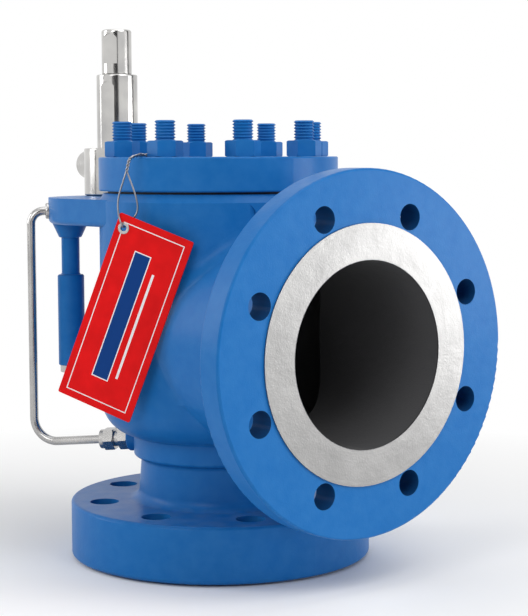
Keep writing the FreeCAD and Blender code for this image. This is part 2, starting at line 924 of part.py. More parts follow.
def lower_spring_plate():
    """Plate between the spool and the spring."""
    top = spool_top + spring_plate_thickness
    return moved(rod(spring_plate_radius, spool_top, top), pilot_axis)


def upper_spring_plate():
    """Plate between the spring and the adjusting screw."""
    top = upper_plate_bottom + spring_plate_thickness
    return moved(rod(spring_plate_radius, upper_plate_bottom, top), pilot_axis)


def pilot_spring():
    """Set-pressure spring between the two plates."""
    bottom = spool_top + spring_plate_thickness + loose_play
    spring = coil(pilot_spring_radius, pilot_spring_wire, bottom, upper_plate_bottom,
                  pilot_spring_turns)
    return moved(spring, pilot_axis)


def adjusting_screw():
    """Slotted screw that loads the spring."""
    bottom = upper_plate_bottom + spring_plate_thickness
    screw = turned([
        (0, bottom),
        (set_screw_radius, bottom),
        (set_screw_radius, set_screw_top, set_screw_edge),
        (0, set_screw_top),
    ])
    slot = Part.makeBox(4 * set_screw_radius, set_screw_slot, set_screw_slot_depth + past,
                        Vec(-2 * set_screw_radius, -set_screw_slot / 2,
                            set_screw_top - set_screw_slot_depth))
    return moved(screw.cut(slot), pilot_axis)


def lock_nut():
    """Nut that locks the adjusting screw."""
    nut = hex_bar(lock_nut_flats, spigot_top, spigot_top + lock_nut_height, lock_nut_chamfer)
    nut = nut.cut(rod(set_screw_radius + thread_play, spigot_top - past,
                      spigot_top + lock_nut_height + past))
    return moved(nut, pilot_axis)


def cap_gasket():
    """Flat ring between bonnet and cap."""
    ring = tube_between(cap_bore_radius, cap_radius - cap_foot_edge, bonnet_top, cap_bottom)
    return moved(ring, pilot_axis)


def pilot_cap():
    """Closed cap over the adjusting screw, with spanner flats."""
    cap = turned([
        (cap_bore_radius, cap_bottom),
        (cap_radius, cap_bottom, cap_foot_edge),
        (cap_radius, cap_top, cap_edge),
        (0, cap_top),
        (0, cap_top - cap_roof),
        (cap_bore_radius, cap_top - cap_roof),
    ])
    cap = flatted(cap, cap_radius, cap_flat_width, cap_bottom + cap_flat_rise,
                  cap_top - cap_flat_top_drop)
    return moved(cap, pilot_axis)


def filter_bowl():
    """Filter housing screwed into the boss below the ear."""
    inner = filter_bowl_radius - filter_wall
    bowl = turned([
        (ear_passage_radius, filter_boss_bottom + filter_thread_length),
        (filter_thread_radius, filter_boss_bottom + filter_thread_length),
        (filter_thread_radius, filter_boss_bottom),
        (filter_neck_radius, filter_boss_bottom),
        (filter_neck_radius, filter_neck_bottom, filter_edge),
        (filter_bowl_radius, filter_neck_bottom, filter_edge),
        (filter_bowl_radius, filter_bowl_bottom, small_round),
        (inner, filter_bowl_bottom),
        (inner, filter_ceiling),
        (ear_passage_radius, filter_ceiling),
    ])
    return moved(bowl, filter_axis)


def filter_element():
    """Porous sleeve inside the filter housing."""
    sleeve = tube_between(element_radius - element_wall, element_radius,
                          filter_bowl_bottom + filter_plug_spigot,
                          filter_ceiling)
    return moved(sleeve, filter_axis)


def filter_plug():
    """Hexagon plug that closes the filter from below."""
    inner = filter_bowl_radius - filter_wall - thread_play
    head = hex_bar(filter_plug_flats, filter_bowl_bottom - filter_plug_height,
                   filter_bowl_bottom, fitting_chamfer)
    spigot = rod(inner, filter_bowl_bottom, filter_bowl_bottom + filter_plug_spigot)
    return moved(head.fuse(spigot), filter_axis)


def lower_fitting_stations():
    """Distances along the lower fitting, counted from the boss's face."""
    hex_end = connector_hex_length
    neck_end = hex_end + connector_neck_length
    return hex_end, neck_end, neck_end + tube_nut_length


def lower_connector():
    """Screwed connector in the tapping boss."""
    hex_end, neck_end, _ = lower_fitting_stations()
    body = hex_bar(connector_flats, 0, hex_end, fitting_chamfer)
    body = body.fuse([
        rod(connector_thread_radius, -connector_thread_length, 0),
        rod(connector_neck_radius, hex_end, neck_end + connector_nose),
    ])
    nose_end = neck_end + connector_nose + past
    body = body.cut([
        rod(tube_radius - tube_wall, -connector_thread_length - past, nose_end),
        rod(tube_radius + thread_play, neck_end - connector_tube_depth, nose_end),
    ])
    return aimed(body, tapping_face, tapping_direction)


def lower_tube_nut():
    """Nut that clamps the tube to the lower connector."""
    _, neck_end, nut_end = lower_fitting_stations()
    skirt = nut_end - tube_nut_skirt_length
    nut = hex_bar(tube_nut_flats, neck_end, skirt, fitting_chamfer)
    nut = nut.fuse(rod(tube_nut_skirt_radius, skirt, nut_end))
    inside = rod(connector_neck_radius + thread_play, neck_end - past, skirt)
    return aimed(nut.cut([inside, rod(tube_radius + thread_play, 0, nut_end + past)]),
                 tapping_face, tapping_direction)


def upper_connector():
    """Screwed socket in the ear's port that the tube enters."""
    socket = rod(port_thread_radius, -port_depth, 0)
    socket = socket.cut([
        rod(ear_passage_radius, -port_depth - past, past),
        rod(tube_radius + thread_play, -port_depth + port_tube_stop, past),
    ])
    return aimed(socket, port_mouth, port_direction)


def upper_tube_nut():
    """Low round nut that shows where the tube leaves the ear."""
    nut = turned([
        (tube_radius + thread_play, 0),
        (port_collar_radius, 0),
        (port_collar_radius, port_nut_length, port_nut_edge),
        (tube_radius + thread_play, port_nut_length),
    ])
    return aimed(nut, port_mouth, port_direction)


def ferrule():
    """Clamping ring on the tube inside the lower nut."""
    _, neck_end, _ = lower_fitting_stations()
    ring = turned([
        (tube_radius + thread_play, 0),
        (ferrule_radius, 0),
        (ferrule_radius - ferrule_taper, ferrule_length),
        (tube_radius + thread_play, ferrule_length),
    ])
    return aimed(moved(ring, Vec(0, 0, neck_end + connector_nose)), tapping_face, tapping_direction)


def tube_route():
    """Corners of the tube's centre line from the ear down to the tapping."""
    _, neck_end, _ = lower_fitting_stations()
    start = port_mouth - port_direction * (port_depth - port_tube_stop)
    top_corner = Vec(tube_run.x, tube_run.y, ear_passage_height)
    along = (Vec(tube_run.x, tube_run.y, 0) - Vec(tapping_face.x, tapping_face.y, 0)).Length
    low_corner = tapping_face + tapping_direction * (along / math.cos(math.radians(tapping_droop)))
    end = tapping_face + tapping_direction * (neck_end - connector_tube_depth)
    return [start, top_corner, low_corner, end]


def supply_tube():
    """Bent steel tube from the ear's port to the tapping on the collar."""
    corners = tube_route()
    bends = [tube_top_bend, tube_bottom_bend]
    outside = bent_bar(corners, tube_radius, bends)
    inside = bent_bar(corners, tube_radius - tube_wall, bends)
    return outside.cut(inside)


def tag_lean():
    """Angle at which the tag hangs in balance from its eyelet."""
    return math.degrees(math.atan2(tag_width / 2 - eyelet_side, tag_length / 2 - eyelet_drop))


def on_tag(shape):
    """Shape drawn about the eyelet, with Z as the tag's normal, set in place."""
    lean = FreeCAD.Rotation(UP, -tag_lean())
    facing = FreeCAD.Rotation(tag_across, UP, tag_normal, "ZXY")
    place = FreeCAD.Placement(eyelet_centre, facing.multiply(lean))
    return shape.transformed(place.toMatrix(), True)


def tag_plate():
    """Flat rectangular tag with a hole near its upper left corner."""
    left = -eyelet_side
    bottom = eyelet_drop - tag_length
    plate = Part.makeBox(tag_width, tag_length, tag_thickness,
                         Vec(left, bottom, -tag_thickness / 2))
    corners = edges_where(plate, lambda edge, middle: abs(middle.z) < close)
    plate = plate.makeFillet(tag_corner, corners)
    hole = rod(eyelet_hole_radius + eyelet_wall + thread_play, -tag_thickness, tag_thickness)
    return on_tag(plate.cut(hole))


def tag_eyelet():
    """Rolled metal eyelet that lines the tag's hole."""
    half = tag_thickness / 2
    barrel = eyelet_hole_radius + eyelet_wall
    eyelet = turned([
        (eyelet_hole_radius, -half - eyelet_rim_height, eyelet_rim_round),
        (eyelet_rim_radius, -half - eyelet_rim_height, eyelet_rim_round),
        (eyelet_rim_radius, -half),
        (barrel, -half),
        (barrel, half),
        (eyelet_rim_radius, half),
        (eyelet_rim_radius, half + eyelet_rim_height, eyelet_rim_round),
        (eyelet_hole_radius, half + eyelet_rim_height, eyelet_rim_round),
    ])
    return on_tag(eyelet)


def beside_tag(out, along, height):
    """Point given from the eyelet: out from the tag, along it and up."""
    return eyelet_centre + tag_normal * out + tag_across * along + Vec(0, 0, height)


def tag_wire():
    """Steel wire looped through the eyelet and hooked behind a cover nut."""
    hang = eyelet_hole_radius - wire_radius - loose_play
    clear = tag_thickness + eyelet_rim_height + 2 * wire_radius
    join = beside_tag(0, wire_join_shift, wire_join_height)
    loop = [
        join + tag_across * wire_radius,
        beside_tag(clear, clear, wire_join_height / 2),
        beside_tag(clear, 0, hang),
        beside_tag(-clear, 0, hang),
        beside_tag(-clear, -clear, wire_join_height / 2),
        join - tag_across * wire_radius,
    ]
    strands = bent_bar(loop, wire_radius,
                       [wire_loop_bend, wire_eyelet_bend, wire_eyelet_bend, wire_loop_bend])
    twist = 2 * wire_radius
    level = Vec(0, 0, cover_top + twist + loose_play)
    neck = [
        join - Vec(0, 0, twist),
        beside_tag(-wire_radius, 2 * wire_join_shift, eyelet_hang - wire_crest_drop),
    ]
    neck += [heading(angle, cover_radius * share) + level for angle, share in wire_hook]
    twisted = bent_bar(neck, twist, [wire_bend] * (len(neck) - 2))
    return twisted.fuse(strands)


MAKERS = [
    valve_body, seat_nozzle, guide_liner, cover_gasket, cover_plate, cover_studs, cover_nuts,
    piston, piston_ring, seat_disc, disc_retainer, retainer_screw, dome_spring,
    pilot_body, pilot_base_gasket, pilot_screws, test_plug, pilot_bonnet, pilot_spool,
    spool_seals, lower_spring_plate, upper_spring_plate, pilot_spring, adjusting_screw,
    lock_nut, cap_gasket, pilot_cap, filter_bowl, filter_element, filter_plug,
    supply_tube, upper_connector, upper_tube_nut, lower_connector, lower_tube_nut, ferrule,
    tag_wire, tag_plate, tag_eyelet,
]

os.makedirs("parts", exist_ok=True)
for maker in MAKERS:
    shape = maker()
    name = maker.__name__
    if not shape.isValid() or not shape.Solids:
        raise RuntimeError("%s did not come out as a valid solid" % name)
    shape.exportStep("parts/%s.step" % name)
    print(name, len(shape.Solids), round(shape.Volume, 1))
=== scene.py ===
import logging
import math
from dataclasses import dataclass, field
from enum import Enum

import bpy
from mathutils import Matrix, Vector


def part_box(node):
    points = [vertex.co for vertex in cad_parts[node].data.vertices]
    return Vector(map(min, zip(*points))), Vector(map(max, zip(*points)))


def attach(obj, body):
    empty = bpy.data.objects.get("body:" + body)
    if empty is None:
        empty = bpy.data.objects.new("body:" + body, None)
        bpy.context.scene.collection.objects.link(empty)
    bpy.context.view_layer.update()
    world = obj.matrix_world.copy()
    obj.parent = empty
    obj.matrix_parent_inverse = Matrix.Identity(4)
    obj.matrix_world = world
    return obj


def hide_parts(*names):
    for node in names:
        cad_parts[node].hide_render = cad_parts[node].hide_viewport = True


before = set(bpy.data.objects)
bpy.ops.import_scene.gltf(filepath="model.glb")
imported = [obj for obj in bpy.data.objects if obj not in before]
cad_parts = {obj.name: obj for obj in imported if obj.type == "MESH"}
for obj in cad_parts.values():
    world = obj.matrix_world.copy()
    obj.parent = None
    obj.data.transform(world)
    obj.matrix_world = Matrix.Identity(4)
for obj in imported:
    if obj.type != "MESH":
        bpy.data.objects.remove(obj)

LOG = logging.getLogger("valve")
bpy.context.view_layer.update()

Socket = bpy.types.NodeSocket
Colour = tuple[float, float, float]
Place = tuple[float, float, float]

# Places taken from the CAD model, in metres
STUD_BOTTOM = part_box("cover_studs")[0][2]
STUD_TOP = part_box("cover_studs")[1][2]
COVER_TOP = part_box("cover_plate")[1][2]
NUT_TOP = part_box("cover_nuts")[1][2]
OUTLET_FACE_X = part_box("valve_body")[1][0]
EYELET = tuple((low + high) / 2 for low, high in zip(*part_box("tag_eyelet")))

# Sizes that a box doesn't show, as in the CAD model
OUTLET_HEIGHT = 0.200
OUTLET_FACE_RISE = 0.0016
OUTLET_BORE_RADIUS = 0.0779
OUTLET_FLANGE_THICKNESS = 0.024
OUTLET_BOLT_CIRCLE = 0.12065
OUTLET_BOLT_HOLE = 0.0111
CAVITY_RADIUS = 0.092
CAVITY_CEILING = 0.298
CAVITY_MOUTH = 0.0335
INLET_FACE_RISE = 0.002
NOZZLE_HOLE_RADIUS = 0.0605
NECK_TOP = 0.118
STUD_CIRCLE = 0.088
STUD_RADIUS = 0.009
STUD_COUNT = 8
TAG_WIDTH = 0.070
TAG_LENGTH = 0.166
EYELET_SIDE = 0.0075
EYELET_DROP = 0.0115
WIRE_RADIUS = 0.00075

# The way the tag faces, and level along its face
TAG_HEADING = math.radians(-54.0)
TAG_NORMAL = Vector((math.cos(TAG_HEADING), math.sin(TAG_HEADING), 0))
TAG_ACROSS = Vector((-math.sin(TAG_HEADING), math.cos(TAG_HEADING), 0))

# How far a mask's edge is kept off a surface, so that the surface falls on one side of it
SKIN = 0.0004

# Ranges of a noise's values: nearly all of them, most of them, and the middle ones
NOISE_ALL = (0.2, 0.8)
NOISE_MOST = (0.3, 0.7)
NOISE_MIDDLE = (0.35, 0.65)

# The Mix node's sockets when it mixes colours
MIX_FACTOR = 0
MIX_FIRST = 6
MIX_SECOND = 7
MIX_RESULT = 2


class Paint(Enum):
    """What lies under a coat of paint, with the depth of its grain in metres."""

    CAST = 0.0006
    TURNED = 0.00012


def deselect_all() -> None:
    """Leaves nothing selected, so that an operator acts on one piece alone."""
    if bpy.context.mode != "OBJECT":
        bpy.ops.object.mode_set(mode="OBJECT")
    bpy.ops.object.select_all(action="DESELECT")


def settle(obj: bpy.types.Object) -> None:
    """Puts an object's place into its mesh, with its own origin at the frame's.

    Args:
        obj: The finished object.
    """
    deselect_all()
    obj.select_set(True)
    bpy.context.view_layer.objects.active = obj
    bpy.ops.object.transform_apply(location=True, rotation=True, scale=True)


@dataclass
class NodeTree:
    """A few short calls for building a tree of shader nodes."""

    tree: bpy.types.NodeTree

    def add(self, kind: str, **values: object) -> bpy.types.Node:
        """Adds a node and sets its plain properties.

        Args:
            kind: Node type without its ShaderNode prefix.
            values: Properties to set on the node.

        Returns:
            The new node.
        """
        node = self.tree.nodes.new("ShaderNode" + kind)
        for name, value in values.items():
            setattr(node, name, value)
        return node

    def link(self, output: Socket, socket: Socket) -> None:
        """Joins an output socket to an input socket."""
        self.tree.links.new(output, socket)

    def feed(self, value: object, socket: Socket) -> None:
        """Gives an input socket its value.

        Args:
            value: Socket to link, or a number or colour to set.
            socket: The input socket.
        """
        if isinstance(value, Socket):
            self.link(value, socket)
        else:
            socket.default_value = (*value, 1.0) if isinstance(value, tuple) else value

    def math(self, operation: str, first: object, second: object = 0.0) -> Socket:
        """Adds a math node.

        Args:
            operation: Blender's name of the operation.
            first: Socket or number for the first value.
            second: Socket or number for the second value.

        Returns:
            The result's socket.
        """
        node = self.add("Math", operation=operation)
        self.feed(first, node.inputs[0])
        self.feed(second, node.inputs[1])
        return node.outputs[0]

    def weighted(self, first: Socket, second: Socket, share: float) -> Socket:
        """Sum of two values, of which the first has the given share."""
        return self.math("ADD", self.math("MULTIPLY", first, share),
                         self.math("MULTIPLY", second, 1.0 - share))

    def distance(self, first: Socket, second: Socket) -> Socket:
        """Distance from an axis, from the two coordinates across it."""
        squares = self.math("ADD", self.math("MULTIPLY", first, first),
                            self.math("MULTIPLY", second, second))
        return self.math("SQRT", squares)

    def split(self, vector: Socket) -> tuple[Socket, ...]:
        """Parts of a vector along X, Y and Z."""
        node = self.add("SeparateXYZ")
        self.link(vector, node.inputs[0])
        return tuple(node.outputs)

    def mix(self, factor: object, first: object, second: object) -> Socket:
        """Mixes two colours.

        Args:
            factor: Socket or number from 0 to 1.
            first: Socket or colour shown at 0.
            second: Socket or colour shown at 1.

        Returns:
            The mixed colour's socket.
        """
        node = self.add("Mix", data_type="RGBA", clamp_factor=True)
        self.feed(factor, node.inputs[MIX_FACTOR])
        self.feed(first, node.inputs[MIX_FIRST])
        self.feed(second, node.inputs[MIX_SECOND])
        return node.outputs[MIX_RESULT]

    def ramp(self, value: Socket, low: float, high: float,
             start: float = 0.0, end: float = 1.0) -> Socket:
        """Maps a value from one range to another, kept inside it.

        Args:
            value: Socket to map.
            low: Input that gives start.
            high: Input that gives end.
            start: Output at low.
            end: Output at high.

        Returns:
            The mapped value's socket.
        """
        node = self.add("MapRange", clamp=True)
        self.link(value, node.inputs["Value"])
        node.inputs["From Min"].default_value = low
        node.inputs["From Max"].default_value = high
        node.inputs["To Min"].default_value = start
        node.inputs["To Max"].default_value = end
        return node.outputs["Result"]

    def noise(self, vector: Socket, scale: object, detail: float = 2.0) -> Socket:
        """Adds a noise texture.

        Args:
            vector: Where it is read.
            scale: Cells in a metre, as a socket or number.
            detail: Octaves.

        Returns:
            The noise value's socket.
        """
        node = self.add("TexNoise")
        self.link(vector, node.inputs["Vector"])
        self.feed(scale, node.inputs["Scale"])
        node.inputs["Detail"].default_value = detail
        return node.outputs["Fac"]


GroupParts = tuple[NodeTree, bpy.types.Node, bpy.types.Node]


def new_group(name: str, inputs: dict[str, float], outputs: tuple[str, ...]) -> GroupParts:
    """Starts a shader node group with a vector, number inputs and number outputs.

    Args:
        name: The group's name.
        inputs: Input names with their default values.
        outputs: Output names.

    Returns:
        The group's tree, its Group Input node and its Group Output node.
    """
    group = bpy.data.node_groups.new(name, "ShaderNodeTree")
    group.interface.new_socket("Vector", in_out="INPUT", socket_type="NodeSocketVector")
    for label, value in inputs.items():
        socket = group.interface.new_socket(label, in_out="INPUT", socket_type="NodeSocketFloat")
        socket.default_value = value
    for label in outputs:
        group.interface.new_socket(label, in_out="OUTPUT", socket_type="NodeSocketFloat")
    start = group.nodes.new("NodeGroupInput")
    return NodeTree(group), start, group.nodes.new("NodeGroupOutput")


def cast_grain_group() -> bpy.types.NodeTree:
    """Builds the sand-cast grain that shows through paint.

    Returns:
        A group that puts out a height and a slow shade.
    """
    octaves = 3.0
    coarse_share = 0.7
    tree, start, end = new_group("cast_grain", {"Coarse": 90.0, "Fine": 700.0},
                                 ("Height", "Shade"))
    coarse, fine = (tree.noise(start.outputs["Vector"], start.outputs[label], octaves)
                    for label in ("Coarse", "Fine"))
    tree.link(tree.weighted(coarse, fine, coarse_share), end.inputs["Height"])
    tree.link(tree.ramp(coarse, *NOISE_MOST), end.inputs["Shade"])
    return tree.tree


def turning_marks_group() -> bpy.types.NodeTree:
    """Builds the fine rings that a lathe tool leaves about an axis.

    Returns:
        A group that reads a radius and puts out a shade.
    """
    rings_in_a_turn = 0.37
    clouds_in_a_metre = 30.0
    ring_share = 0.35
    tree, start, end = new_group("turning_marks", {"Radius": 0.0, "Pitch": 0.0008}, ("Shade",))
    turns = tree.add("CombineXYZ")
    tree.link(tree.math("DIVIDE", start.outputs["Radius"], start.outputs["Pitch"]),
              turns.inputs[0])
    rings = tree.noise(turns.outputs[0], rings_in_a_turn)
    clouds = tree.noise(start.outputs["Vector"], clouds_in_a_metre)
    both = tree.weighted(rings, clouds, ring_share)
    tree.link(tree.ramp(both, *NOISE_MIDDLE), end.inputs["Shade"])
    return tree.tree


def settled_dust_group() -> bpy.types.NodeTree:
    """Builds the faint dust that lies on faces that look up.

    Returns:
        A group that puts out how much dust lies on a point.
    """
    lies_from = 0.6
    bare_below, full_above = 0.35, 0.7
    tree, start, end = new_group("settled_dust", {"Amount": 0.1, "Scale": 60.0}, ("Dust",))
    upward = tree.split(tree.add("NewGeometry").outputs["Normal"])[2]
    level = tree.ramp(upward, lies_from, 1.0)
    patches = tree.noise(start.outputs["Vector"], start.outputs["Scale"])
    lying = tree.math("MULTIPLY", level, tree.ramp(patches, bare_below, full_above))
    tree.link(tree.math("MULTIPLY", lying, start.outputs["Amount"]), end.inputs["Dust"])
    return tree.tree


@dataclass
class Finish:
    """A material with its Principled shader and object coordinates ready.

    Attributes:
        name: Material name.
        roughness: Plain roughness.
        metallic: 0 for paint and plastic, 1 for bare metal.
        coat: Clear coat weight.
        coat_roughness: The clear coat's roughness.
        specular: Strength of the plain surface reflection.
    """

    name: str
    roughness: float = 0.4
    metallic: float = 0.0
    coat: float = 0.0
    coat_roughness: float = 0.12
    specular: float = 0.5
    material: bpy.types.Material = field(init=False)
    tree: NodeTree = field(init=False)
    shader: bpy.types.Node = field(init=False)
    place: Socket = field(init=False)

    def __post_init__(self) -> None:
        """Makes the material and its first nodes."""
        self.material = bpy.data.materials.new(self.name)
        self.material.use_nodes = True
        self.tree = NodeTree(self.material.node_tree)
        self.shader = self.material.node_tree.nodes["Principled BSDF"]
        self.shader.inputs["Roughness"].default_value = self.roughness
        self.shader.inputs["Metallic"].default_value = self.metallic
        self.shader.inputs["Coat Weight"].default_value = self.coat
        self.shader.inputs["Coat Roughness"].default_value = self.coat_roughness
        self.shader.inputs["Specular IOR Level"].default_value = self.specular
        self.place = self.tree.add("TexCoord").outputs["Object"]

    def group(self, shared: bpy.types.NodeTree, **values: object) -> bpy.types.Node:
        """Places a shared group in this material.

        Args:
            shared: The node group.
            values: Input values or sockets, by name.

        Returns:
            The group node.
        """
        node = self.tree.add("Group", node_tree=shared)
        self.tree.link(self.place, node.inputs["Vector"])
        for label, value in values.items():
            self.tree.feed(value, node.inputs[label])
        return node

    def bump(self, height: Socket, strength: float, distance: float) -> None:
        """Joins a height to the shader's normal.

        Args:
            height: Socket with the height from 0 to 1.
            strength: How much of the bump shows.
            distance: Height of a full bump in metres.
        """
        node = self.tree.add("Bump")
        node.inputs["Strength"].default_value = strength
        node.inputs["Distance"].default_value = distance
        self.tree.link(height, node.inputs["Height"])
        self.tree.link(node.outputs["Normal"], self.shader.inputs["Normal"])

    def colour(self, source: object) -> None:
        """Sets the base colour from a socket or a plain colour."""
        self.tree.feed(source, self.shader.inputs["Base Color"])


@dataclass(frozen=True)
class Shared:
    """The node groups that several finishes use."""

    grain: bpy.types.NodeTree
    marks: bpy.types.NodeTree
    dust: bpy.types.NodeTree


@dataclass(frozen=True)
class Enamel:
    """Blue enamel, on rough castings or on turned steel.

    Attributes:
        blue: Its deeper shade.
        pale_blue: Its lighter shade.
        dust: Colour of the dust on faces that look up.
        dust_amount: How much of the dust shows.
        roughness: The enamel's roughness.
        coat: Clear coat weight.
        specular: Strength of its surface reflection.
        grain_strength: How much of the grain below shows.
    """

    blue: Colour = (0.008, 0.130, 0.400)
    pale_blue: Colour = (0.015, 0.146, 0.420)
    dust: Colour = (0.30, 0.34, 0.40)
    dust_amount: float = 0.16
    roughness: float = 0.36
    coat: float = 0.02
    specular: float = 0.11
    grain_strength: float = 0.5

    def make(self, shared: Shared, paint: Paint, name: str) -> Finish:
        """Builds the enamel.

        Args:
            shared: The shared node groups.
            paint: What lies under the paint.
            name: Material name.

        Returns:
            The finish, whose base colour may still be mixed.
        """
        finish = Finish(name, roughness=self.roughness, coat=self.coat, specular=self.specular)
        grain = finish.group(shared.grain)
        dust = finish.group(shared.dust, Amount=self.dust_amount)
        shade = finish.tree.mix(grain.outputs["Shade"], self.blue, self.pale_blue)
        finish.colour(finish.tree.mix(dust.outputs["Dust"], shade, self.dust))
        finish.bump(grain.outputs["Height"], self.grain_strength, paint.value)
        return finish


@dataclass(frozen=True)
class BodyFinish:
    """Blue enamel outside, turned steel on the faces, dark steel inside.

    Attributes:
        enamel: The paint on the outside.
        turned: Lighter shade of the turned faces.
        turned_dark: Their darker shade.
        turned_pitch: Distance between the lathe's rings.
        inside: Colour of the hollows.
        inside_metallic: How metallic the hollows look.
        bare_roughness: Roughness of the turned faces and hollows.
        painted_hole_shade: Colour of the paint in the outlet's bolt holes.
        hole_roughness: Its roughness.
    """

    enamel: Enamel = Enamel()
    turned: Colour = (0.31, 0.307, 0.304)
    turned_dark: Colour = (0.26, 0.258, 0.256)
    turned_pitch: float = 0.0007
    inside: Colour = (0.15, 0.15, 0.155)
    inside_metallic: float = 0.5
    bare_roughness: float = 0.38
    # painted_hole_shade: Painted shade, a darker blue set into the outlet's bolt holes.
    painted_hole_shade: Colour = (0.002, 0.042, 0.140)
    hole_roughness: float = 0.95

    def make(self, shared: Shared) -> bpy.types.Material:
        """Builds the casting's material.

        Args:
            shared: The shared node groups.

        Returns:
            The material.
        """
        finish = self.enamel.make(shared, Paint.CAST, "body_enamel")
        tree = finish.tree
        inputs = finish.shader.inputs
        painted = inputs["Base Color"].links[0].from_socket
        x, y, z = tree.split(finish.place)
        from_outlet = tree.distance(y, tree.math("SUBTRACT", z, OUTLET_HEIGHT))
        hollow = tree.math("MAXIMUM", self.in_outlet(tree, x, from_outlet),
                           self.in_cavity(tree, z, tree.distance(x, y)))
        front = OUTLET_FACE_X - OUTLET_FACE_RISE
        faced = tree.math("MAXIMUM", tree.math("GREATER_THAN", x, front + SKIN),
                          tree.math("LESS_THAN", z, INLET_FACE_RISE - SKIN))
        bare = tree.math("MAXIMUM", faced, hollow)
        holes = self.in_bolt_holes(tree, x, from_outlet, front)
        marks = finish.group(shared.marks, Radius=from_outlet, Pitch=self.turned_pitch)
        grey = tree.mix(marks.outputs["Shade"], self.turned_dark, self.turned)
        # The outlet's bolt holes get a darker blue as painted shade.
        colour = tree.mix(faced, tree.mix(holes, painted, self.painted_hole_shade), grey)
        finish.colour(tree.mix(hollow, colour, self.inside))
        inner_metal = tree.math("MULTIPLY", hollow, self.inside_metallic)
        tree.link(tree.math("MAXIMUM", faced, inner_metal), inputs["Metallic"])
        sheen = tree.ramp(bare, 0.0, 1.0, finish.roughness, self.bare_roughness)
        dull = tree.math("MULTIPLY", holes, self.hole_roughness)
        tree.link(tree.math("MAXIMUM", sheen, dull), inputs["Roughness"])
        tree.link(tree.ramp(bare, 0.0, 1.0, finish.coat, 0.0), inputs["Coat Weight"])
        return finish.material

    def in_outlet(self, tree: NodeTree, x: Socket, from_outlet: Socket) -> Socket:
        """Mask of the outlet's bore.

        Args:
            tree: The material's tree.
            x: Coordinate along the outlet.
            from_outlet: Distance from the outlet's axis.

        Returns:
            A mask that is 1 on the bore's wall.
        """
        within = tree.math("LESS_THAN", from_outlet, OUTLET_BORE_RADIUS + SKIN)
        return tree.math("MULTIPLY", within, tree.math("GREATER_THAN", x, 0.0))

    def in_cavity(self, tree: NodeTree, z: Socket, from_barrel: Socket) -> Socket:
        """Mask of the bowl's inside and of the inlet's bore.

        Args:
            tree: The material's tree.
            z: Height.
            from_barrel: Distance from the barrel's axis.

        Returns:
            A mask that is 1 on the inside.
        """
        within = tree.math("LESS_THAN", from_barrel, CAVITY_RADIUS + SKIN)
        inside = tree.math("MULTIPLY", within, tree.math("GREATER_THAN", z, INLET_FACE_RISE))
        neck = tree.math("MULTIPLY", tree.math("LESS_THAN", z, NECK_TOP),
                         tree.math("GREATER_THAN", from_barrel, NOZZLE_HOLE_RADIUS))
        inside = tree.math("MULTIPLY", inside, tree.math("SUBTRACT", 1.0, neck))
        below = tree.math("LESS_THAN", z, CAVITY_CEILING + CAVITY_MOUTH)
        return tree.math("MULTIPLY", inside, below)

    def in_bolt_holes(self, tree: NodeTree, x: Socket, from_outlet: Socket,
                      front: float) -> Socket:
        """Mask of the outlet flange's bolt holes.

        Args:
            tree: The material's tree.
            x: Coordinate along the outlet.
            from_outlet: Distance from the outlet's axis.
            front: Where the flange's front lies on X.

        Returns:
            A mask that is 1 on the holes' walls.
        """
        back = front - OUTLET_FLANGE_THICKNESS
        depth = tree.math("MULTIPLY", tree.math("GREATER_THAN", x, back + SKIN),
                          tree.math("LESS_THAN", x, front - SKIN))
        off_circle = tree.math("ABSOLUTE",
                               tree.math("SUBTRACT", from_outlet, OUTLET_BOLT_CIRCLE))
        near = tree.math("LESS_THAN", off_circle, OUTLET_BOLT_HOLE + SKIN)
        return tree.math("MULTIPLY", depth, near)


@dataclass(frozen=True)
class BareMetal:
    """Bare metal with fine brushing along Z and slow shade changes.

    Attributes:
        colour: Colour of its brighter clouds.
        dark: Colour of its darker clouds.
        roughness: Middle of its roughness.
        brushing: Brush marks in a metre.
        clouds: Clouds in a metre.
        octaves: Detail of the brushing.
        stretch: Scale of the brushing along Z, so that its marks are long.
        smoothest: Factor on the roughness where the brushing is smoothest.
        roughest: Factor on it where the brushing is roughest.
        strength: How much of the brushing's bump shows.
        depth: Depth of the brushing.
    """

    colour: Colour
    dark: Colour
    roughness: float
    brushing: float = 1040.0
    clouds: float = 35.0
    octaves: float = 4.0
    stretch: float = 0.05
    smoothest: float = 0.8
    roughest: float = 1.25
    strength: float = 0.25
    depth: float = 0.00003

    def make(self, name: str) -> bpy.types.Material:
        """Builds the metal.

        Args:
            name: Material name.

        Returns:
            The material.
        """
        finish = Finish(name, roughness=self.roughness, metallic=1.0)
        tree = finish.tree
        stretched = tree.add("Mapping")
        stretched.inputs["Scale"].default_value = (1.0, 1.0, self.stretch)
        tree.link(finish.place, stretched.inputs["Vector"])
        brushed = tree.noise(stretched.outputs["Vector"], self.brushing, self.octaves)
        slow = tree.noise(finish.place, self.clouds)
        finish.colour(tree.mix(tree.ramp(slow, *NOISE_MOST), self.dark, self.colour))
        rough = tree.ramp(brushed, *NOISE_ALL, self.roughness * self.smoothest,
                          self.roughness * self.roughest)
        tree.link(rough, finish.shader.inputs["Roughness"])
        finish.bump(brushed, self.strength, self.depth)
        return finish.material


@dataclass(frozen=True)
class Soft:
    """Graphite, rubber and other dull dark stuff.

    Attributes:
        colour: Colour between its specks.
        roughness: Its roughness.
        specks: Specks in a metre.
        lift: How much lighter the specks are.
        strength: How much of the specks' bump shows.
        depth: Depth of the specks.
    """

    colour: Colour
    roughness: float
    specks: float = 900.0
    lift: float = 1.6
    strength: float = 0.3
    depth: float = 0.00005

    def make(self, name: str) -> bpy.types.Material:
        """Builds the dull material.

        Args:
            name: Material name.

        Returns:
            The material.
        """
        finish = Finish(name, roughness=self.roughness)
        speck = finish.tree.noise(finish.place, self.specks)
        light = tuple(min(1.0, channel * self.lift) for channel in self.colour)
        finish.colour(finish.tree.mix(finish.tree.ramp(speck, *NOISE_MIDDLE), self.colour, light))
        finish.bump(speck, self.strength, self.depth)
        return finish.material


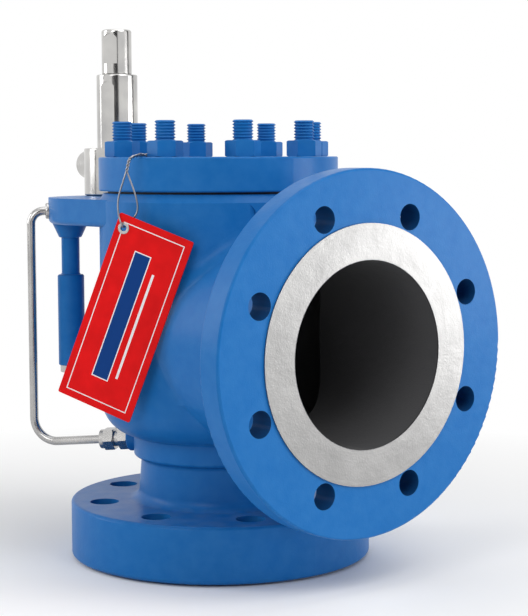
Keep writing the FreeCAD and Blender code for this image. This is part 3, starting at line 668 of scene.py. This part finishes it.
@dataclass(frozen=True)
class TagPrint:
    """Red plate with a white border line, a blue field and a thin white line.

    Attributes:
        lean: How far the plate's length leans from upright, in radians.
        border_inset: How far the border line is set in from the edge.
        border_half: Half the border line's width.
        field_centre: Middle of the blue field, from the plate's middle.
        field_half: Half its width and length.
        field_rim: Width of its white rim.
        line_centre: Middle of the thin line.
        line_half: Half its width and length.
        red: Ground colour.
        red_shade: How much darker the ground's clouds are.
        clouds: Clouds in a metre.
        white: Colour of the border, rim and line.
        blue: Colour of the field.
        roughness: The print's roughness.
        specular: Strength of its surface reflection.
    """

    lean: float = math.atan2(TAG_WIDTH / 2 - EYELET_SIDE, TAG_LENGTH / 2 - EYELET_DROP)
    border_inset: float = 0.0065
    border_half: float = 0.00042
    field_centre: tuple[float, float] = (-0.0035, 0.0)
    field_half: tuple[float, float] = (0.0070, 0.0565)
    field_rim: float = 0.0009
    line_centre: tuple[float, float] = (0.0110, -0.004)
    line_half: tuple[float, float] = (0.0011, 0.048)
    red: Colour = (0.75, 0.009, 0.010)
    red_shade: float = 0.85
    clouds: float = 60.0
    white: Colour = (0.82, 0.80, 0.80)
    blue: Colour = (0.006, 0.045, 0.20)
    roughness: float = 0.42
    specular: float = 0.06

    def make(self) -> bpy.types.Material:
        """Builds the printed plate.

        Returns:
            The material.
        """
        finish = Finish("tag_print", roughness=self.roughness, specular=self.specular)
        tree = finish.tree
        u, v, front = self.coordinates(finish)
        wide, tall = self.field_half
        rim = self.filled(tree, u, v, self.field_centre,
                          (wide + self.field_rim, tall + self.field_rim))
        inner = self.filled(tree, u, v, self.field_centre, self.field_half)
        line = self.filled(tree, u, v, self.line_centre, self.line_half)
        white = tree.math("MAXIMUM", self.border(tree, u, v), tree.math("MAXIMUM", rim, line))
        cloud = tree.ramp(tree.noise(finish.place, self.clouds), *NOISE_MOST)
        dark_red = tuple(channel * self.red_shade for channel in self.red)
        colour = tree.mix(cloud, dark_red, self.red)
        colour = tree.mix(tree.math("MULTIPLY", white, front), colour, self.white)
        finish.colour(tree.mix(tree.math("MULTIPLY", inner, front), colour, self.blue))
        return finish.material

    def coordinates(self, finish: Finish) -> tuple[Socket, Socket, Socket]:
        """Places a point on the plate.

        Args:
            finish: The plate's finish.

        Returns:
            Distance across, distance along and a mask of the front.
        """
        tree = finish.tree
        upright = Matrix((TAG_ACROSS, Vector((0, 0, 1)), TAG_NORMAL)).transposed().to_4x4()
        hung = Matrix.Translation(EYELET) @ upright @ Matrix.Rotation(-self.lean, 4, "Z")
        back = hung.inverted()
        flat = tree.add("Mapping", vector_type="POINT")
        flat.inputs["Location"].default_value = back.to_translation()
        flat.inputs["Rotation"].default_value = back.to_euler("XYZ")
        tree.link(finish.place, flat.inputs["Vector"])
        across, along, out = tree.split(flat.outputs["Vector"])
        u = tree.math("SUBTRACT", across, TAG_WIDTH / 2 - EYELET_SIDE)
        v = tree.math("SUBTRACT", along, EYELET_DROP - TAG_LENGTH / 2)
        return u, v, tree.math("GREATER_THAN", out, 0.0)

    def filled(self, tree: NodeTree, u: Socket, v: Socket,
               centre: tuple[float, float], half: tuple[float, float]) -> Socket:
        """Masks a rectangle on the plate.

        Args:
            tree: The material's tree.
            u: Distance across from the plate's middle.
            v: Distance along from the plate's middle.
            centre: Middle of the rectangle.
            half: Half its width and length.

        Returns:
            A mask that is 1 inside.
        """
        off_u = tree.math("ABSOLUTE", tree.math("SUBTRACT", u, centre[0]))
        off_v = tree.math("ABSOLUTE", tree.math("SUBTRACT", v, centre[1]))
        return tree.math("MULTIPLY", tree.math("LESS_THAN", off_u, half[0]),
                         tree.math("LESS_THAN", off_v, half[1]))

    def border(self, tree: NodeTree, u: Socket, v: Socket) -> Socket:
        """Masks the thin line round the plate, set in from its edge.

        Args:
            tree: The material's tree.
            u: Distance across from the plate's middle.
            v: Distance along from the plate's middle.

        Returns:
            A mask that is 1 on the line.
        """
        wide = TAG_WIDTH / 2 - self.border_inset
        tall = TAG_LENGTH / 2 - self.border_inset
        thick = self.border_half
        outer = self.filled(tree, u, v, (0, 0), (wide + thick, tall + thick))
        inner = self.filled(tree, u, v, (0, 0), (wide - thick, tall - thick))
        return tree.math("SUBTRACT", outer, inner)


@dataclass
class Paintwork:
    """Every finish of the valve, and which CAD node wears which."""

    finishes: dict[str, bpy.types.Material] = field(init=False)

    def __post_init__(self) -> None:
        """Builds the shared groups and the materials."""
        shared = Shared(cast_grain_group(), turning_marks_group(), settled_dust_group())
        polished = BareMetal((0.60, 0.59, 0.57), (0.46, 0.455, 0.45), 0.17)
        bright = BareMetal((0.52, 0.51, 0.50), (0.40, 0.395, 0.39), 0.26)
        wire = BareMetal((0.36, 0.36, 0.38), (0.22, 0.22, 0.24), 0.30)
        inner = BareMetal((0.30, 0.30, 0.31), (0.22, 0.22, 0.23), 0.40)
        spring = BareMetal((0.34, 0.35, 0.37), (0.22, 0.23, 0.25), 0.35)
        self.finishes = {
            "body": BodyFinish().make(shared),
            "enamel": Enamel().make(shared, Paint.TURNED, "cover_enamel").material,
            "polished": polished.make("polished_steel"),
            "bright": bright.make("bright_steel"),
            "wire": wire.make("wire_steel"),
            "inner": inner.make("inner_steel"),
            "spring": spring.make("spring_steel"),
            "mesh": Soft((0.28, 0.26, 0.22), 0.6).make("sintered_steel"),
            "graphite": Soft((0.02, 0.02, 0.022), 0.65).make("graphite"),
            "seal": Soft((0.012, 0.012, 0.012), 0.5).make("black_seal"),
            "tag": TagPrint().make(),
        }

    def dress(self, node: str, finish: str) -> None:
        """Gives a CAD node its finish.

        Args:
            node: The node's name.
            finish: Which finish it wears.
        """
        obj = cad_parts[node]
        for slot in obj.material_slots:
            slot.material = self.finishes[finish]
        if not obj.material_slots:
            obj.data.materials.append(self.finishes[finish])
        LOG.info("dressed %s in %s", node, finish)

    def dress_all(self) -> None:
        """Dresses every CAD node."""
        wear = {
            "body": ["valve_body"],
            "enamel": ["cover_plate", "cover_nuts", "cover_studs", "filter_bowl"],
            "polished": ["pilot_body", "pilot_bonnet", "pilot_cap", "test_plug", "pilot_screws"],
            "bright": ["supply_tube", "upper_connector", "upper_tube_nut", "lower_connector",
                       "lower_tube_nut", "ferrule", "filter_plug", "tag_eyelet"],
            "wire": ["tag_wire"],
            "inner": ["seat_nozzle", "guide_liner", "piston", "disc_retainer", "retainer_screw",
                      "pilot_spool", "lower_spring_plate", "upper_spring_plate",
                      "adjusting_screw", "lock_nut"],
            "spring": ["dome_spring", "pilot_spring"],
            "mesh": ["filter_element"],
            "graphite": ["cover_gasket", "pilot_base_gasket", "cap_gasket", "piston_ring"],
            "seal": ["seat_disc", "spool_seals"],
            "tag": ["tag_plate"],
        }
        for finish, nodes in wear.items():
            for node in nodes:
                self.dress(node, finish)


@dataclass
class ThreadedStuds:
    """The cover's studs with their thread modelled above the nuts.

    Attributes:
        root: Radius at the bottom of the thread.
        pitch: Height of one turn.
        flank: Share of a turn's height that each slope takes.
        trough: Share that the thread's bottom takes.
        crest: Share that the thread's top takes.
        chamfer: Height of the turned end.
        sides: Sides of the stud's circle.
        smooth_below: Edges flatter than this are shaded smooth, in degrees.
    """

    root: float = 0.0077
    pitch: float = 0.0025
    flank: float = 0.40
    trough: float = 0.12
    crest: float = 0.08
    chamfer: float = 0.0012
    sides: int = 40
    smooth_below: float = 20.0

    def one(self) -> bpy.types.Object:
        """Models one stud on the Z axis by extruding a circle upwards.

        Returns:
            The stud, at the frame's origin.
        """
        deselect_all()
        thread_bottom = NUT_TOP - self.pitch
        bpy.ops.mesh.primitive_circle_add(vertices=self.sides, radius=STUD_RADIUS,
                                          fill_type="NGON", location=(0, 0, STUD_BOTTOM))
        stud = bpy.context.object
        bpy.ops.object.mode_set(mode="EDIT")
        bpy.ops.mesh.select_all(action="SELECT")
        self.raise_end(thread_bottom - STUD_BOTTOM)
        room = STUD_TOP - self.chamfer - thread_bottom
        turns = round(room / self.pitch)
        step = room / turns
        inward = self.root / STUD_RADIUS
        for _ in range(turns):
            self.raise_end(step * self.flank, inward)
            self.raise_end(step * self.trough)
            self.raise_end(step * self.flank, 1.0 / inward)
            self.raise_end(step * self.crest)
        self.raise_end(self.chamfer, inward)
        bpy.ops.mesh.select_all(action="SELECT")
        bpy.ops.mesh.normals_make_consistent(inside=False)
        bpy.ops.object.mode_set(mode="OBJECT")
        settle(stud)
        return stud

    def raise_end(self, rise: float, scale: float = 1.0) -> None:
        """Extrudes the selected end upwards and scales it.

        Args:
            rise: How far up, in metres.
            scale: Factor on the end's radius.
        """
        bpy.ops.mesh.extrude_region_move(TRANSFORM_OT_translate={"value": (0, 0, rise)})
        if scale != 1.0:
            bpy.ops.transform.resize(value=(scale, scale, 1.0))

    def build(self, paintwork: Paintwork) -> bpy.types.Object:
        """Models the studs and puts them round the cover.

        Args:
            paintwork: The valve's finishes.

        Returns:
            One object that holds all the studs.
        """
        first = self.one()
        studs = [first]
        for _ in range(STUD_COUNT - 1):
            copy = first.copy()
            copy.data = first.data.copy()
            bpy.context.collection.objects.link(copy)
            studs.append(copy)
        for index, stud in enumerate(studs):
            angle = math.radians((index + 0.5) * 360.0 / STUD_COUNT)
            stud.location = (STUD_CIRCLE * math.cos(angle), STUD_CIRCLE * math.sin(angle), 0)
            stud.rotation_euler = (0, 0, angle)
        deselect_all()
        for stud in studs:
            stud.select_set(True)
        bpy.context.view_layer.objects.active = first
        bpy.ops.object.join()
        joined = bpy.context.object
        joined.name = "stud_threads"
        settle(joined)
        bpy.ops.object.shade_smooth_by_angle(angle=math.radians(self.smooth_below))
        joined.data.materials.append(paintwork.finishes["enamel"])
        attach(joined, "valve")
        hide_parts("cover_studs")
        return joined


@dataclass
class TwistedWire:
    """The tag's wire: two strands twisted together above a loop through the eyelet.

    Attributes:
        upright: The twisted part from where the strands meet, as distances out from the
            tag's face, along its upper edge and above the eyelet.
        lying: The twisted part on the cover, as degrees from +X and distances from the
            cover's axis.
        loop: The loop through the eyelet, given in the same way as upright.
        gap: Space between the wire and the cover.
        twists: Full turns of one strand round the other.
        twist_samples: Points along the twisted part.
        loop_samples: Points along the loop.
    """

    upright: tuple[Place, ...] = ((0.0, 0.003, 0.048), (-0.001, 0.0060, 0.0585))
    lying: tuple[tuple[float, float], ...] = (
        (-75.0, 0.1065), (-83.0, 0.094), (-91.0, 0.082), (-86.0, 0.068), (-70.0, 0.066))
    loop: tuple[Place, ...] = (
        (0.0025, -0.0035, 0.026), (0.0034, -0.0035, 0.012), (0.0034, -0.0004, 0.0022),
        (0.0, 0.0, 0.0011), (-0.0034, 0.0020, 0.0030), (-0.0034, 0.0105, 0.013),
        (-0.0020, 0.0105, 0.026))
    gap: float = 0.0003
    twists: float = 11.0
    twist_samples: int = 150
    loop_samples: int = 64

    def beside(self, out: float, along: float, height: float) -> Vector:
        """Point given from the eyelet.

        Args:
            out: Distance out from the tag's face.
            along: Distance along the tag's upper edge, level.
            height: Height above the eyelet.

        Returns:
            The point in the frame.
        """
        return Vector(EYELET) + TAG_NORMAL * out + TAG_ACROSS * along + Vector((0, 0, height))

    def on_cover(self, heading: float, reach: float) -> Vector:
        """Point of the wire that lies on the cover.

        Args:
            heading: Degrees from +X.
            reach: Distance from the cover's axis.

        Returns:
            The point in the frame.
        """
        turn = math.radians(heading)
        height = COVER_TOP + 2 * WIRE_RADIUS + self.gap
        return Vector((reach * math.cos(turn), reach * math.sin(turn), height))

    def smooth(self, corners: list[Vector], count: int) -> list[Vector]:
        """Even points on a smooth curve through the corners.

        Args:
            corners: Points that the curve passes through.
            count: How many steps to take along it.

        Returns:
            The points.
        """
        ends = [corners[0] * 2 - corners[1]] + corners + [corners[-1] * 2 - corners[-2]]
        points = []
        spans = len(corners) - 1
        just_short = 1e-6
        for index in range(count + 1):
            along = min(index * spans / count, spans - just_short)
            span = int(along)
            t = along - span
            a, b, c, d = ends[span:span + 4]
            points.append((b * 2 + (c - a) * t + (a * 2 - b * 5 + c * 4 - d) * t ** 2
                           + (b * 3 - a - c * 3 + d) * t ** 3) / 2)
        return points

    def strand(self, line: list[Vector], phase: float) -> list[Vector]:
        """One strand that winds round a line.

        Args:
            line: Points of the line.
            phase: Where on the circle the strand starts.

        Returns:
            The strand's points.
        """
        side = TAG_NORMAL
        points = []
        for index, here in enumerate(line):
            before = line[max(index - 1, 0)]
            after = line[min(index + 1, len(line) - 1)]
            ahead = (after - before).normalized()
            side = (side - ahead * side.dot(ahead)).normalized()
            turn = phase + 2 * math.pi * self.twists * index / (len(line) - 1)
            off_line = side * math.cos(turn) + ahead.cross(side) * math.sin(turn)
            points.append(here + off_line * WIRE_RADIUS)
        return points

    def route(self) -> list[Vector]:
        """The whole wire's centre line, from one end round the eyelet to the other.

        Returns:
            The points.
        """
        corners = [self.beside(*place) for place in self.upright]
        corners += [self.on_cover(*place) for place in self.lying]
        spine = self.smooth(corners, self.twist_samples)
        first = self.strand(spine, 0.0)
        second = self.strand(spine, math.pi)
        bends = [self.beside(*place) for place in self.loop]
        loop = self.smooth([first[0], *bends, second[0]], self.loop_samples)
        return first[:0:-1] + loop + second[1:]

    def build(self, paintwork: Paintwork) -> bpy.types.Object:
        """Models the wire as a round bar along its route.

        Args:
            paintwork: The valve's finishes.

        Returns:
            The wire.
        """
        deselect_all()
        points = self.route()
        bpy.ops.curve.primitive_nurbs_path_add()
        wire = bpy.context.object
        wire.name = "wire_twist"
        curve = wire.data
        curve.splines.clear()
        spline = curve.splines.new("POLY")
        spline.points.add(len(points) - 1)
        for point, place in zip(spline.points, points):
            point.co = (*place, 1.0)
        curve.bevel_depth = WIRE_RADIUS
        curve.bevel_resolution = 2
        curve.use_fill_caps = True
        bpy.ops.object.convert(target="MESH")
        bpy.ops.object.shade_smooth()
        settle(wire)
        wire.data.materials.append(paintwork.finishes["wire"])
        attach(wire, "valve")
        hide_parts("tag_wire")
        return wire


@dataclass(frozen=True)
class Card:
    """A dark card that only the steel's reflections show.

    Attributes:
        name: The card's name.
        heading: Degrees from +X at which it stands.
        reach: Distance from the valve.
        width: Its width.
        height: Its height.
        lift: How far it stands off the floor.
        colour: Its colour.
    """

    name: str
    heading: float
    reach: float
    width: float
    height: float = 3.0
    lift: float = 0.05
    colour: Colour = (0.02, 0.02, 0.022)

    def build(self) -> None:
        """Stands the card so that it faces the valve."""
        deselect_all()
        turn = math.radians(self.heading)
        place = (self.reach * math.cos(turn), self.reach * math.sin(turn),
                 self.height / 2 + self.lift)
        bpy.ops.mesh.primitive_plane_add(size=1.0, location=place,
                                         rotation=(math.pi / 2, 0, turn + math.pi / 2))
        card = bpy.context.object
        card.name = self.name
        card.scale = (self.width, self.height, 1.0)
        finish = Finish(self.name, roughness=0.9)
        finish.colour(self.colour)
        card.data.materials.append(finish.material)
        card.visible_camera = False
        card.visible_diffuse = False
        card.visible_shadow = False
        LOG.info("stood %s", self.name)


@dataclass(frozen=True)
class Lamp:
    """A soft rectangular lamp that points at the valve.

    Attributes:
        name: The lamp's name.
        place: Where it stands.
        size: Width and height of its panel.
        power: Watts.
    """

    name: str
    place: Place
    size: tuple[float, float]
    power: float

    def build(self) -> None:
        """Adds the lamp and turns it towards the outlet's height on the axis."""
        light = bpy.data.lights.new(self.name, "AREA")
        light.shape = "RECTANGLE"
        light.size, light.size_y = self.size
        light.energy = self.power
        lamp = bpy.data.objects.new(self.name, light)
        bpy.context.collection.objects.link(lamp)
        lamp.location = self.place
        toward = Vector((0.0, 0.0, OUTLET_HEIGHT)) - Vector(self.place)
        lamp.rotation_euler = toward.to_track_quat("-Z", "Y").to_euler()
        LOG.info("lit %s", self.name)


@dataclass
class Studio:
    """Pale floor, soft lamps, dark cards for the steel to reflect, and the camera.

    Attributes:
        cards: The dark cards.
        lamps: The lamps.
        floor_width: Width of the floor.
        floor_colour: Its colour close to the valve.
        bright_from: Distance from the valve at which the floor starts to turn white.
        bright_at: Distance at which it is white.
        world_light: Strength of the world's light on the valve.
        world_seen: Strength that the camera and the steel's reflections see.
        camera_place: Where the camera stands.
        yaw: Its heading from +X, in radians.
        pitch: Its tilt from level, in radians.
        roll: Its turn about its own axis, in radians.
        lens: Its focal length, in millimetres.
        sensor: Its sensor's width, in millimetres.
    """

    cards: tuple[Card, ...] = (
        Card("card_behind_camera", -44.0, 3.2, 2.1),
        Card("card_left", -128.0, 2.4, 0.9),
        Card("card_right", 66.0, 2.6, 0.8),
    )
    lamps: tuple[Lamp, ...] = (
        Lamp("key", (1.55, 0.25, 1.65), (1.2, 1.2), 21.0),
        Lamp("right", (1.30, 1.58, 0.24), (0.9, 0.44), 13.0),
        Lamp("side", (-1.4, -1.5, 1.0), (0.8, 1.4), 18.0),
        Lamp("front", (1.0, -1.9, 1.3), (1.0, 1.0), 14.0),
        Lamp("top", (0.0, 0.2, 2.2), (1.6, 1.6), 12.0),
    )
    floor_width: float = 30.0
    floor_colour: Colour = (0.92, 0.92, 0.92)
    bright_from: float = 0.30
    bright_at: float = 0.75
    world_light: float = 0.30
    world_seen: float = 1.0
    camera_place: Place = (1.217448, -0.894493, 0.360042)
    yaw: float = 2.481
    pitch: float = -0.0895
    roll: float = -0.004
    lens: float = 97.15
    sensor: float = 36.0

    def seen_directly(self, tree: NodeTree) -> Socket:
        """Mask of the rays that see the surroundings, plainly or in metal.

        Args:
            tree: The material's or world's tree.

        Returns:
            A socket that is 1 for those rays.
        """
        rays = tree.add("LightPath")
        seen = tree.math("MAXIMUM", rays.outputs["Is Camera Ray"], rays.outputs["Is Glossy Ray"])
        return tree.math("MAXIMUM", seen, rays.outputs["Is Transmission Ray"])

    def floor(self) -> None:
        """Lays a wide pale floor that turns plain white away from the valve."""
        deselect_all()
        bpy.ops.mesh.primitive_plane_add(size=self.floor_width, location=(0, 0, 0))
        floor = bpy.context.object
        floor.name = "studio_floor"
        finish = Finish("studio_floor", roughness=0.8, specular=0.1)
        tree = finish.tree
        finish.colour(self.floor_colour)
        x, y, _ = tree.split(finish.place)
        away = tree.ramp(tree.distance(x, y), self.bright_from, self.bright_at)
        white = tree.add("Emission")
        white.inputs["Strength"].default_value = 1.0
        mixed = tree.add("MixShader")
        tree.link(tree.math("MULTIPLY", away, self.seen_directly(tree)), mixed.inputs[0])
        tree.link(finish.shader.outputs[0], mixed.inputs[1])
        tree.link(white.outputs[0], mixed.inputs[2])
        output = finish.material.node_tree.nodes["Material Output"]
        tree.link(mixed.outputs[0], output.inputs["Surface"])
        floor.data.materials.append(finish.material)
        LOG.info("laid %s", floor.name)

    def world(self) -> None:
        """Sets a plain pale world that shows white to the camera."""
        world = bpy.data.worlds.new("studio")
        bpy.context.scene.world = world
        world.use_nodes = True
        tree = NodeTree(world.node_tree)
        back = world.node_tree.nodes["Background"]
        back.inputs["Color"].default_value = (1, 1, 1, 1)
        strength = tree.ramp(self.seen_directly(tree), 0.0, 1.0, self.world_light, self.world_seen)
        tree.link(strength, back.inputs["Strength"])

    def camera(self) -> None:
        """Places the camera at the photograph's angle."""
        data = bpy.data.cameras.new("camera")
        data.lens = self.lens
        data.sensor_width = self.sensor
        data.sensor_fit = "AUTO"
        camera = bpy.data.objects.new("camera", data)
        bpy.context.collection.objects.link(camera)
        ahead = Vector((math.cos(self.pitch) * math.cos(self.yaw),
                        math.cos(self.pitch) * math.sin(self.yaw), math.sin(self.pitch)))
        turn = ahead.to_track_quat("-Z", "Y").to_matrix() @ Matrix.Rotation(self.roll, 3, "Z")
        camera.matrix_world = Matrix.Translation(self.camera_place) @ turn.to_4x4()
        bpy.context.scene.camera = camera

    def build(self) -> None:
        """Sets up floor, world, cards, lamps and camera."""
        self.floor()
        self.world()
        for prop in (*self.cards, *self.lamps):
            prop.build()
        self.camera()


def main() -> None:
    """Builds the studio, the finishes and the modelled pieces in order."""
    logging.basicConfig(level=logging.INFO)
    scene = bpy.context.scene
    scene.view_settings.view_transform = "Standard"
    Studio().build()
    paintwork = Paintwork()
    paintwork.dress_all()
    for maker in (ThreadedStuds(), TwistedWire()):
        piece = maker.build(paintwork)
        LOG.info("built %s", piece.name)


if __name__ == "__main__":
    main()
